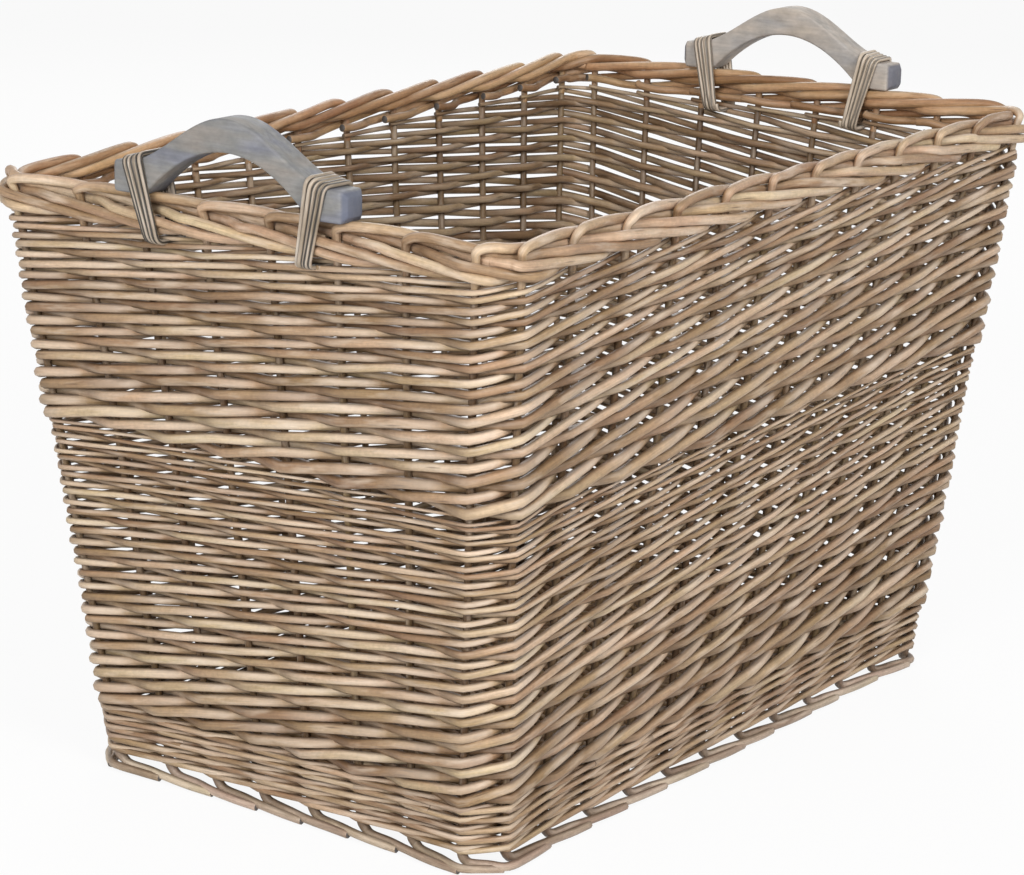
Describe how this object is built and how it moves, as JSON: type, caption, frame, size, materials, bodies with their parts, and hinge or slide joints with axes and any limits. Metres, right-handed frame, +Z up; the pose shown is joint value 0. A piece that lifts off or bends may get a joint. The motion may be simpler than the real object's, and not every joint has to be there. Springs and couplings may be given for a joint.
{
  "type": "wicker storage basket",
  "caption": "Tall flared willow basket, rectangular and open-topped, with a rolled rim border, raised foot and an arched wooden handle lashed to each end; stores logs, laundry or toys.",
  "frame": {"origin": "on the floor under the middle of the basket", "axes": "+X along the long sides, +Y along the short sides, +Z up through the open top"},
  "size_m": [0.6528, 0.402, 0.4519],
  "materials": {
    "willow_stake": "matt greyed willow rod",
    "willow_weave": "matt greyed willow rod with pale wash",
    "willow_border": "matt warm brown willow rod",
    "willow_base": "matt brown willow rod",
    "handle_wood": "matt grey washed wood",
    "cane": "pale split cane, satin"
  },
  "bodies": {
    "root": {"foot_border": "willow_border", "upsett_wale": "willow_weave", "lower_rand": "willow_weave", "upper_rand": "willow_weave", "rim_border": "willow_border", "stake_01": "willow_stake", "stake_02": "willow_stake", "stake_03": "willow_stake", "stake_04": "willow_stake", "stake_05": "willow_stake", "stake_06": "willow_stake", "stake_07": "willow_stake", "stake_08": "willow_stake", "stake_09": "willow_stake", "stake_10": "willow_stake", "stake_11": "willow_stake", "stake_12": "willow_stake", "stake_13": "willow_stake", "stake_14": "willow_stake", "stake_15": "willow_stake", "stake_16": "willow_stake", "stake_17": "willow_stake", "stake_18": "willow_stake", "stake_19": "willow_stake", "stake_20": "willow_stake", "stake_21": "willow_stake", "stake_22": "willow_stake", "stake_23": "willow_stake", "stake_24": "willow_stake", "stake_25": "willow_stake", "stake_26": "willow_stake", "stake_27": "willow_stake", "stake_28": "willow_stake", "stake_29": "willow_stake", "stake_30": "willow_stake", "stake_31": "willow_stake", "stake_32": "willow_stake", "stake_33": "willow_stake", "stake_34": "willow_stake", "stake_35": "willow_stake", "stake_36": "willow_stake", "stake_37": "willow_stake", "stake_38": "willow_stake", "stake_39": "willow_stake", "stake_40": "willow_stake", "base_weave": "willow_base", "base_stick_1": "willow_stake", "base_stick_2": "willow_stake", "base_stick_3": "willow_stake", "base_stick_4": "willow_stake", "base_stick_5": "willow_stake", "base_stick_6": "willow_stake", "base_stick_7": "willow_stake", "handle_1": "handle_wood", "handle_2": "handle_wood", "lashing_1a": "cane", "lashing_1b": "cane", "lashing_2a": "cane", "lashing_2b": "cane"}
  },
  "joints": []
}
